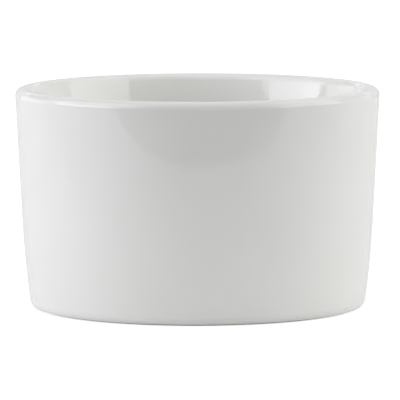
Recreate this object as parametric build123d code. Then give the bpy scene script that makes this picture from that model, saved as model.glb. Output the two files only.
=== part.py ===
from build123d import *
from math import asin, cos, degrees, radians, sin, tan
import os

# A plain round ramekin: one fired clay vessel and the two separate areas of glaze on it. Each piece is a section
# turned about the Z axis, and the table is at Z = 0. Lengths are in millimetres and angles in degrees. A point of
# a section is (distance from the axis, height). A direction in it turns from the outward horizontal, so 90 is up.

# Outside, over the glaze
RIM_DIAMETER = 95.0
HEIGHT = 57.5
RIM_THICKNESS = 4.0

# Outer wall of the clay: straight, then a long belly curve, then a tight heel
WALL_DRAFT = 3.0
BELLY_START = 22.5
BELLY_RADIUS = 240.0
HEEL_RADIUS = 2.6

# Inside of the clay: a lip that flares towards the rim, and a straight wall under it
LIP_DRAFT = 12.0
LIP_RADIUS = 60.0
INNER_DRAFT = 3.5
CORNER_RADIUS = 7.0
FLOOR_THICKNESS = 3.6

# Foot ring, and the recess that it goes round
FOOT_WIDTH = 3.0
FOOT_EDGE_RADIUS = 0.5
RECESS_DEPTH = 2.0

# Glaze: it pools in the floor corner, and stops short of the foot ring on both sides
GLAZE = 0.25
POOL_RADIUS_GAIN = 0.8
GLAZE_LINE_HEIGHT = 0.7
RECESS_GLAZE_END = 30.0


def polar(centre, radius, direction):
    """the point of the section that lies in a direction on a circle"""
    turn = radians(direction)
    return (centre[0] + radius * cos(turn), centre[1] + radius * sin(turn))


def arc(centre, radius, start, end):
    """the arc of a circle from one direction to another"""
    return CenterArc(centre, radius, start, end - start)


# The outer wall and the inner lip leave the full-round rim as tangents, and so does the inner wall the lip.
OUTER_NORMAL = -WALL_DRAFT
LIP_NORMAL = 180 - LIP_DRAFT
INNER_NORMAL = 180 - INNER_DRAFT
RIM_RADIUS = RIM_THICKNESS / 2 - GLAZE
RIM_CENTRE = (RIM_DIAMETER / 2 - RIM_THICKNESS / 2, HEIGHT - RIM_THICKNESS / 2)
LIP_CENTRE = polar(RIM_CENTRE, RIM_RADIUS - LIP_RADIUS, LIP_NORMAL)

# The outer wall runs into the belly, and the belly into the heel, as tangents too.
WALL_TOP = polar(RIM_CENTRE, RIM_RADIUS, OUTER_NORMAL)
WALL_SET_IN = (WALL_TOP[1] - BELLY_START) * tan(radians(WALL_DRAFT))
BELLY_CENTRE = polar((WALL_TOP[0] - WALL_SET_IN, BELLY_START), -BELLY_RADIUS, OUTER_NORMAL)
BELLY_TO_HEEL = BELLY_RADIUS - HEEL_RADIUS
HEEL_NORMAL = -degrees(asin((BELLY_CENTRE[1] - HEEL_RADIUS) / BELLY_TO_HEEL))
HEEL_CENTRE = polar(BELLY_CENTRE, BELLY_TO_HEEL, HEEL_NORMAL)
GLAZE_LINE = -degrees(asin(1 - GLAZE_LINE_HEIGHT / HEEL_RADIUS))

# A round edge and a fillet step up from the flat of the foot ring to the recess.
FOOT_OUTER = HEEL_CENTRE[0]
FOOT_INNER = FOOT_OUTER - FOOT_WIDTH
FOOT_EDGE_CENTRE = (FOOT_INNER, FOOT_EDGE_RADIUS)
RECESS_FILLET = RECESS_DEPTH - FOOT_EDGE_RADIUS
RECESS_FLAT_RADIUS = FOOT_INNER - FOOT_EDGE_RADIUS - RECESS_FILLET
RECESS_FILLET_CENTRE = (RECESS_FLAT_RADIUS, FOOT_EDGE_RADIUS)
FLOOR_HEIGHT = RECESS_DEPTH + FLOOR_THICKNESS


def outside(skin, lowest):
    """heel from its lowest direction up, belly, outer wall and rim, a skin's thickness out from the clay"""
    wall_foot = polar(BELLY_CENTRE, BELLY_RADIUS + skin, OUTER_NORMAL)
    wall_top = polar(RIM_CENTRE, RIM_RADIUS + skin, OUTER_NORMAL)
    return [
        arc(HEEL_CENTRE, HEEL_RADIUS + skin, lowest, HEEL_NORMAL),
        arc(BELLY_CENTRE, BELLY_RADIUS + skin, HEEL_NORMAL, OUTER_NORMAL),
        Line(wall_foot, wall_top),
        arc(RIM_CENTRE, RIM_RADIUS + skin, OUTER_NORMAL, LIP_NORMAL),
    ]


def inside(skin, pool):
    """lip, inner wall, corner and floor to the axis, a skin's thickness in from the clay, with a pool in the corner"""
    floor = FLOOR_HEIGHT + skin
    corner = CORNER_RADIUS - skin + pool
    lean = radians(INNER_DRAFT)
    wall_top = polar(LIP_CENTRE, LIP_RADIUS + skin, INNER_NORMAL)
    drop = wall_top[1] - floor - corner
    centre = (wall_top[0] - (corner + drop * sin(lean)) / cos(lean), floor + corner)
    return [
        arc(LIP_CENTRE, LIP_RADIUS + skin, LIP_NORMAL, INNER_NORMAL),
        Line(wall_top, polar(centre, -corner, INNER_NORMAL)),
        arc(centre, corner, INNER_NORMAL - 180, -90),
        Line((centre[0], floor), (0, floor)),
    ]


def recess(skin, lowest):
    """underside from the axis to the lowest direction on its fillet, a skin's thickness down from the clay"""
    roof = RECESS_DEPTH - skin
    return [
        Line((0, roof), (RECESS_FLAT_RADIUS, roof)),
        arc(RECESS_FILLET_CENTRE, RECESS_FILLET - skin, 90, lowest),
    ]


def nose_turn(radius):
    """how far round an arc of the clay the glaze's round edge reaches"""
    return degrees(2 * asin(GLAZE / (2 * radius)))


def nose(centre, radius, end, glaze_side):
    """the round edge of a glaze that ends at one direction on an arc of the clay, and lies to one side there"""
    root = polar(centre, radius, end)
    return arc(root, GLAZE, glaze_side, end - 90 - nose_turn(radius) / 2)


def axis_line(bottom, top):
    return Line((0, bottom), (0, top))


def turned(section):
    """the solid that a closed section makes about the Z axis"""
    return revolve(Plane.XZ * make_face(section), Axis.Z)


def clay_body():
    """the fired vessel: floor, wall, round rim, heel, and the bare foot ring that it stands on"""
    foot = [
        Line((FOOT_OUTER, 0), (FOOT_INNER, 0)),
        arc(FOOT_EDGE_CENTRE, FOOT_EDGE_RADIUS, -90, -180),
    ]
    walls = outside(0, -90) + inside(0, 0)
    return turned(walls + [axis_line(RECESS_DEPTH, FLOOR_HEIGHT)] + recess(0, 0) + foot)


def glaze_coat():
    """the glass on the floor, both walls and the rim, down to the glaze line on the heel"""
    clay_end = GLAZE_LINE - nose_turn(HEEL_RADIUS)
    edge = nose(HEEL_CENTRE, HEEL_RADIUS, GLAZE_LINE, GLAZE_LINE)
    surface = outside(GLAZE, GLAZE_LINE) + inside(GLAZE, POOL_RADIUS_GAIN)
    clay = outside(0, clay_end) + inside(0, 0)
    return turned(surface + clay + [edge, axis_line(FLOOR_HEIGHT, FLOOR_HEIGHT + GLAZE)])


def underside_glaze():
    """the glass inside the foot ring"""
    clay_end = RECESS_GLAZE_END - nose_turn(RECESS_FILLET)
    edge = nose(RECESS_FILLET_CENTRE, RECESS_FILLET, RECESS_GLAZE_END, RECESS_GLAZE_END - 180)
    layer = recess(GLAZE, RECESS_GLAZE_END) + recess(0, clay_end)
    return turned(layer + [edge, axis_line(RECESS_DEPTH - GLAZE, RECESS_DEPTH)])


def brimful():
    """the space that the vessel holds when it is filled to the top of the rim"""
    floor = FLOOR_HEIGHT + GLAZE
    rim = arc(RIM_CENTRE, RIM_RADIUS + GLAZE, 90, LIP_NORMAL)
    surface = Line((RIM_CENTRE[0], HEIGHT), (0, HEIGHT))
    return turned(inside(GLAZE, POOL_RADIUS_GAIN) + [rim, surface, axis_line(floor, HEIGHT)])


PIECES = {"clay_body": clay_body, "glaze_coat": glaze_coat, "underside_glaze": underside_glaze}

os.makedirs("parts", exist_ok=True)
for name, make in PIECES.items():
    piece = make()
    piece.label = name
    export_step(piece, f"parts/{name}.step")
    print(f"{name}: {piece.volume / 1000:.2f} ml")
print(f"holds {brimful().volume / 1000:.0f} ml brimful, foot ring {2 * FOOT_OUTER:.1f} mm across")
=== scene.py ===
from math import atan2, cos, pi, radians, sin

import bpy
from mathutils import Euler, Matrix, Vector


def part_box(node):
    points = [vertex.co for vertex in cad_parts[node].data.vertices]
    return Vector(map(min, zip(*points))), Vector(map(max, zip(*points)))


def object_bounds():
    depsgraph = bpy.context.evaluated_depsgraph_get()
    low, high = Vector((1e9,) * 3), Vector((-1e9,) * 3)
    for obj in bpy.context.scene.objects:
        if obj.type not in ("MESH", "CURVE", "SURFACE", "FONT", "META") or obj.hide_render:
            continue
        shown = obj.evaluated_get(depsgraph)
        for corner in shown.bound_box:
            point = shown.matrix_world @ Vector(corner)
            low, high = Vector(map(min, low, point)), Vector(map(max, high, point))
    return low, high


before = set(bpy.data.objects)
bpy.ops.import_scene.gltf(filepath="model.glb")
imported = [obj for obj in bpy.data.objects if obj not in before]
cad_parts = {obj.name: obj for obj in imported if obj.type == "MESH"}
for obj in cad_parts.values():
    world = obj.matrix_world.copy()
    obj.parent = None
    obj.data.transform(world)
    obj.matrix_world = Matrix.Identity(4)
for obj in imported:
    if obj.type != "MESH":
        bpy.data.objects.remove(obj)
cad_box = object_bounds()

# A glazed porcelain ramekin in a pale studio. Lengths are in metres, angles in degrees and powers in watts.

# Camera: the photograph's long lens, a little above the rim. PHOTO_CENTRE is the vessel's middle, in pixels.
CAMERA_DISTANCE = 1.3984
CAMERA_HEIGHT = 0.17267
CAMERA_LENS = 484.3
CAMERA_ROLL = -0.12
SENSOR_WIDTH = 36.0
CLIP_END = 20.0
PHOTO_SIDE = 400
PHOTO_CENTRE = (197.63, 196.7)

# Lights: each faces a point over the floor, at an azimuth from the camera's side that grows to the right
AIM = Vector((0, 0, 0.05))
LIGHTS = {
    # name: azimuth, elevation, distance, width, height, watts
    "left_softbox": (-76, 31, 1.2, 1.41, 1.45, 9.0),
    "left_low": (-75.75, 10, 1.2, 0.957, 0.36, 2.3),
    "left_back": (-126, 8, 1.2, 0.88, 0.34, 1.0),
    "right_strip": (76.75, 10.7, 1.2, 1.13, 0.33, 2.9),
    "right_mid": (76.75, 27, 1.2, 1.13, 0.36, 2.8),
    "right_back": (125.5, 12, 1.2, 1.05, 0.5, 1.15),
    "right_high": (95, 50, 1.2, 1.0, 0.6, 3.1),
    "right_high_back": (142, 44, 1.2, 0.9, 0.8, 0.6),
    "back_low": (180, 11, 1.5, 1.6, 0.6, 1.6),
    "back_high": (180, 33, 1.5, 1.6, 0.8, 1.4),
    "overhead": (0, 89, 1.2, 1.0, 1.0, 1.2),
}
ROUND_LIGHTS = {"left_softbox"}
COOL_LIGHTS = {"left_softbox", "left_low", "left_back"}
COOL = (1.0, 1.0, 1.045)
AMBIENT = 0.22

# Table: past its front edge, listed from left to right, lies the dark room that the glaze mirrors as a bowl
TABLE_REACH = 3.0
TABLE_FRONT = [
    (-TABLE_REACH, -0.228), (-0.22, -0.227), (-0.1, -0.24), (0.0, -0.252),
    (0.06, -0.248), (0.11, -0.232), (0.2, -0.204), (TABLE_REACH, -0.2),
]
TABLE_BACK = [(TABLE_REACH, TABLE_REACH), (-TABLE_REACH, TABLE_REACH)]
TABLE_SHINE = 0.79
ROOM_REACH = 6.0
ROOM_DROP = 0.001

# Floor and surround that the camera sees. The floor is a hair under the foot ring, so that neither flickers.
FLOOR_REACH = 2.4
FLOOR_DROP = 0.00005
FLOOR_GLOW = 0.9
SURROUND_RADIUS = 2.6
SURROUND_SIDES = 48
SURROUND_GLOW = 1.0
WHITE = (0.8, 0.8, 0.8)
BLACK = (0.0, 0.0, 0.0)
GLOW_COLOR = (1.0, 1.0, 1.0)

# Glaze: its tone drifts between two colours, and cells to the metre say how fast
GLAZE_LOW = (0.838, 0.838, 0.812)
GLAZE_HIGH = (0.858, 0.858, 0.833)
TONE_CELLS = 55
TONE_DETAIL = 3.0
TONE_SPAN = (0.3, 0.7)
GLOSS_CELLS = 160
LEAST_ROUGHNESS = 0.01
ROUGHNESS_SPREAD = 0.016
GLAZE_IOR = 1.5

# Where the glaze thins: in a band under the top of the rim, and in one over the glaze line
GLAZE_THIN = (0.872, 0.868, 0.842)
RIM_TOP = cad_box[1].z
RIM_BAND = 0.0014
RIM_TINT = 0.6
GLAZE_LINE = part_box("glaze_coat")[0].z
LINE_BAND = 0.0016
LINE_TINT = 0.5

# Where it pools: in the corner of the floor inside, which FOOT_CLEAR tells from the glaze on the underside
GLAZE_POOLED = (0.815, 0.832, 0.822)
FLOOR_TOP = 0.00585
FOOT_CLEAR = 0.003
POOL_RADIUS = 0.0365
POOL_BAND = 0.006
POOL_TOP = 0.013
POOL_TINT = 0.7

# Relief of the glaze: slow swell, turning marks that run round the vessel, orange peel and pinholes
SWELL_CELLS = (25, 25, 60)
SWELL_HEIGHT = 0.00001
TURNING = {
    # name: cells to the metre up the wall, cells to the metre across the vessel, height
    "waves": (250, 14, 0.000014),
    "fine_lines": (600, 120, 0.000005),
}
PEEL_CELLS = 500
PEEL_DETAIL = 1.0
PEEL_HEIGHT = 0.0000005
PINHOLE_CELLS = 140
PINHOLE_SHARE = 0.035
PINHOLE_DEPTH = 0.00005

# Bare porcelain of the foot ring: grained, and rubbed grey where it stands on tables
BARE_LOW = (0.66, 0.63, 0.58)
BARE_HIGH = (0.78, 0.755, 0.71)
BARE_CELLS = 1800
BARE_DETAIL = 4.0
BARE_HARSHNESS = 0.65
BARE_SPAN = (0.35, 0.65)
BARE_ROUGHNESS = 0.72
BARE_RELIEF = 0.00004
SCUFF = (0.42, 0.41, 0.4)
SCUFF_CELLS = 220
SCUFF_DETAIL = 3.0
SCUFF_SPAN = (0.5, 0.68)
SCUFF_TOP = 0.0004
SCUFF_TINT = 0.55

# Sockets of a Mix node that mixes colours
MIX_FACTOR, MIX_FIRST, MIX_SECOND, MIX_RESULT = 0, 6, 7, 2


def make_camera():
    low, high = cad_box
    middle = (high.z + low.z) / 2
    pitch = atan2(CAMERA_HEIGHT - middle, CAMERA_DISTANCE)
    data = bpy.data.cameras.new("camera")
    data.sensor_width = SENSOR_WIDTH
    data.lens = CAMERA_LENS
    data.shift_x = (PHOTO_SIDE / 2 - PHOTO_CENTRE[0]) / PHOTO_SIDE
    data.shift_y = (PHOTO_CENTRE[1] - PHOTO_SIDE / 2) / PHOTO_SIDE
    data.clip_end = CLIP_END
    camera = bpy.data.objects.new("camera", data)
    camera.location = (0, -CAMERA_DISTANCE, CAMERA_HEIGHT)
    tilt = Euler((pi / 2 - pitch, 0, 0)).to_matrix()
    camera.rotation_euler = (tilt @ Matrix.Rotation(radians(CAMERA_ROLL), 3, "Z")).to_euler()
    bpy.context.scene.collection.objects.link(camera)
    bpy.context.scene.camera = camera


def opaque(color):
    """a colour with the fourth number that colour sockets take"""
    return (*color, 1)


class Nodes:
    """one material, and a short way to add nodes to it"""

    def __init__(self, name):
        self.material = bpy.data.materials.new(name)
        self.material.use_nodes = True
        self.tree = self.material.node_tree
        self.shader = self.tree.nodes["Principled BSDF"]

    def add(self, kind, values=None, **settings):
        node = self.tree.nodes.new("ShaderNode" + kind)
        for key, value in settings.items():
            setattr(node, key, value)
        for key, value in (values or {}).items():
            self.put(node.inputs[key], value)
        return node

    def put(self, socket, value):
        if isinstance(value, bpy.types.NodeSocket):
            self.tree.links.new(value, socket)
        else:
            socket.default_value = value

    def set(self, **values):
        """values or sockets for the shader, with _ for each space in a name"""
        for key, value in values.items():
            self.put(self.shader.inputs[key.replace("_", " ")], value)

    def position(self):
        """the three coordinates of a point on the object"""
        where = self.add("TexCoord").outputs["Object"]
        parts = self.add("SeparateXYZ", {"Vector": where}).outputs
        return parts["X"], parts["Y"], parts["Z"]

    def from_axis(self, x, y):
        """distance from the vessel's axis"""
        squares = [self.math("MULTIPLY", part, part) for part in (x, y)]
        return self.math("SQRT", self.math("ADD", *squares))

    def place(self, cells):
        """the object's coordinates, with so many cells to the metre each way"""
        where = self.add("TexCoord").outputs["Object"]
        return self.add("Mapping", {"Vector": where, "Scale": cells}).outputs["Vector"]

    def noise(self, vector, detail=2.0, harshness=0.5):
        values = {"Vector": vector, "Scale": 1.0, "Detail": detail, "Roughness": harshness}
        return self.add("TexNoise", values).outputs["Fac"]

    def grain(self, cells, detail=2.0, harshness=0.5):
        """noise that is alike in all directions"""
        return self.noise(self.place((cells, cells, cells)), detail, harshness)

    def between(self, value, low, high):
        """0 at the first end of a span and 1 at the other, smoothly"""
        values = {"Value": value, "From Min": low, "From Max": high}
        return self.add("MapRange", values, interpolation_type="SMOOTHSTEP").outputs["Result"]

    def mix(self, factor, first, second):
        node = self.add("Mix", data_type="RGBA")
        for socket, value in ((MIX_FACTOR, factor), (MIX_FIRST, first), (MIX_SECOND, second)):
            self.put(node.inputs[socket], value)
        return node.outputs[MIX_RESULT]

    def tint(self, tone, color, where, share):
        """a tone that goes a share of the way to a colour where it is called for"""
        return self.mix(self.math("MULTIPLY", where, share), tone, opaque(color))

    def math(self, operation, *terms):
        return self.add("Math", dict(enumerate(terms)), operation=operation).outputs[0]

    def ramp(self, factor, span, low, high):
        """a drift from one colour to another over a span"""
        node = self.add("ValToRGB", {"Fac": factor})
        for element, position, color in zip(node.color_ramp.elements, span, (low, high)):
            element.position = position
            element.color = opaque(color)
        return node.outputs["Color"]

    def bump(self, height, distance, normal=None):
        values = {"Height": height, "Distance": distance, "Strength": 1.0}
        if normal is not None:
            values["Normal"] = normal
        return self.add("Bump", values).outputs["Normal"]


def glaze_tone(n, height, radius):
    """near white, thinner on edges and deeper in the pool"""
    tone = n.ramp(n.grain(TONE_CELLS, TONE_DETAIL), TONE_SPAN, GLAZE_LOW, GLAZE_HIGH)
    on_rim = n.between(height, RIM_TOP - RIM_BAND, RIM_TOP)
    tone = n.tint(tone, GLAZE_THIN, on_rim, RIM_TINT)
    by_line = n.between(height, GLAZE_LINE + LINE_BAND, GLAZE_LINE)
    tone = n.tint(tone, GLAZE_THIN, by_line, LINE_TINT)
    near_corner = n.between(n.math("ABSOLUTE", n.math("SUBTRACT", radius, POOL_RADIUS)), POOL_BAND, 0.0)
    inside = n.math("GREATER_THAN", height, FOOT_CLEAR)
    low_inside = n.math("MULTIPLY", n.between(height, POOL_TOP, FLOOR_TOP), inside)
    return n.tint(tone, GLAZE_POOLED, n.math("MULTIPLY", near_corner, low_inside), POOL_TINT)


def turning_marks(n, x, y, up, cells, cells_across, size, surface):
    """rings that drift slowly as they go round the vessel"""
    rings = {
        "X": n.math("MULTIPLY", x, cells_across),
        "Y": n.math("MULTIPLY", y, cells_across),
        "Z": n.math("MULTIPLY", up, cells),
    }
    return n.bump(n.noise(n.add("CombineXYZ", rings).outputs["Vector"], detail=0.0), size, surface)


def pinholes(n, surface):
    pits = n.add("TexVoronoi", {"Vector": n.place((1, 1, 1)), "Scale": PINHOLE_CELLS})
    pit = n.between(pits.outputs["Distance"], PINHOLE_SHARE, 0.0)
    return n.bump(n.math("MULTIPLY", pit, -1.0), PINHOLE_DEPTH, surface)


def glaze_material(name):
    """white porcelain under a clear gloss that still shows how the vessel was turned"""
    n = Nodes(name)
    x, y, height = n.position()
    radius = n.from_axis(x, y)
    roughness = n.math("MULTIPLY_ADD", n.grain(GLOSS_CELLS), ROUGHNESS_SPREAD, LEAST_ROUGHNESS)
    surface = n.bump(n.noise(n.place(SWELL_CELLS)), SWELL_HEIGHT)
    up_the_wall = n.math("ADD", height, radius)
    for cells, cells_across, size in TURNING.values():
        surface = turning_marks(n, x, y, up_the_wall, cells, cells_across, size, surface)
    surface = n.bump(n.grain(PEEL_CELLS, PEEL_DETAIL), PEEL_HEIGHT, surface)
    surface = pinholes(n, surface)
    n.set(Base_Color=glaze_tone(n, height, radius), Roughness=roughness, IOR=GLAZE_IOR, Normal=surface)
    return n.material


def bare_material(name):
    """bare fired porcelain: warm, matt and finely grained, and greyed where it has rubbed"""
    n = Nodes(name)
    grain = n.grain(BARE_CELLS, BARE_DETAIL, BARE_HARSHNESS)
    _, _, height = n.position()
    rubbed = n.between(n.grain(SCUFF_CELLS, SCUFF_DETAIL), *SCUFF_SPAN)
    smudge = n.math("MULTIPLY", rubbed, n.between(height, SCUFF_TOP, 0.0))
    color = n.tint(n.ramp(grain, BARE_SPAN, BARE_LOW, BARE_HIGH), SCUFF, smudge, SCUFF_TINT)
    n.set(Base_Color=color, Roughness=BARE_ROUGHNESS, Normal=n.bump(grain, BARE_RELIEF))
    return n.material


def plain(name, color, glow=0.0):
    """matt paint for the stage, which may glow"""
    n = Nodes(name)
    n.set(Base_Color=opaque(color), Roughness=1.0, Specular_IOR_Level=0.0)
    n.set(Emission_Color=opaque(GLOW_COLOR), Emission_Strength=glow)
    return n.material


def dress(node, material):
    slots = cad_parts[node].data.materials
    slots.clear()
    slots.append(material)


def on_stage(piece, material, rays):
    """a piece of the stage that only some kinds of ray see"""
    piece.data.materials.append(material)
    for kind in ("camera", "diffuse", "glossy", "transmission", "volume_scatter", "shadow"):
        setattr(piece, "visible_" + kind, kind in rays)


def square(reach):
    return [(-reach, -reach), (reach, -reach), (reach, reach), (-reach, reach)]


def sheet(name, outline, height, material, rays):
    mesh = bpy.data.meshes.new(name)
    mesh.from_pydata([(x, y, height) for x, y in outline], [], [range(len(outline))])
    piece = bpy.data.objects.new(name, mesh)
    bpy.context.scene.collection.objects.link(piece)
    on_stage(piece, material, rays)


def surround(name, material, rays):
    bpy.ops.mesh.primitive_uv_sphere_add(
        segments=SURROUND_SIDES, ring_count=SURROUND_SIDES // 2, radius=SURROUND_RADIUS)
    piece = bpy.context.object
    piece.name = name
    on_stage(piece, material, rays)


def make_stage():
    """pale floor for the camera, white table for bounced light, glowing table and dark room for the gloss"""
    table = TABLE_FRONT + TABLE_BACK
    sheet("floor", square(FLOOR_REACH), -FLOOR_DROP, plain("floor_paint", WHITE, FLOOR_GLOW), {"camera"})
    sheet("table", table, -FLOOR_DROP, plain("table_paint", WHITE), {"diffuse"})
    sheet("table_shine", table, -FLOOR_DROP, plain("table_gloss", BLACK, TABLE_SHINE), {"glossy"})
    sheet("dark_room", square(ROOM_REACH), -ROOM_DROP, plain("dark_paint", BLACK), {"diffuse", "glossy"})
    surround("surround", plain("surround_paint", BLACK, SURROUND_GLOW), {"camera"})


def light(name, azimuth, elevation, distance, width, height, watts):
    turn, lift = radians(azimuth), radians(elevation)
    way = Vector((cos(lift) * sin(turn), -cos(lift) * cos(turn), sin(lift)))
    data = bpy.data.lights.new(name, "AREA")
    data.shape = "ELLIPSE" if name in ROUND_LIGHTS else "RECTANGLE"
    data.size = width
    data.size_y = height
    data.energy = watts
    if name in COOL_LIGHTS:
        data.color = COOL
    piece = bpy.data.objects.new(name, data)
    piece.location = AIM + distance * way
    piece.rotation_euler = (-way).to_track_quat("-Z", "Y").to_euler()
    piece.visible_camera = False
    bpy.context.scene.collection.objects.link(piece)


def make_world():
    """even light from all round, and plain tones in the picture"""
    world = bpy.data.worlds.new("world")
    world.use_nodes = True
    background = world.node_tree.nodes["Background"]
    background.inputs["Color"].default_value = opaque(GLOW_COLOR)
    background.inputs["Strength"].default_value = AMBIENT
    bpy.context.scene.world = world
    bpy.context.scene.view_settings.view_transform = "Standard"


make_camera()

glaze = glaze_material("white_glaze")
dress("clay_body", bare_material("bare_porcelain"))
dress("glaze_coat", glaze)
dress("underside_glaze", glaze)

make_stage()
for name, values in LIGHTS.items():
    light(name, *values)
make_world()
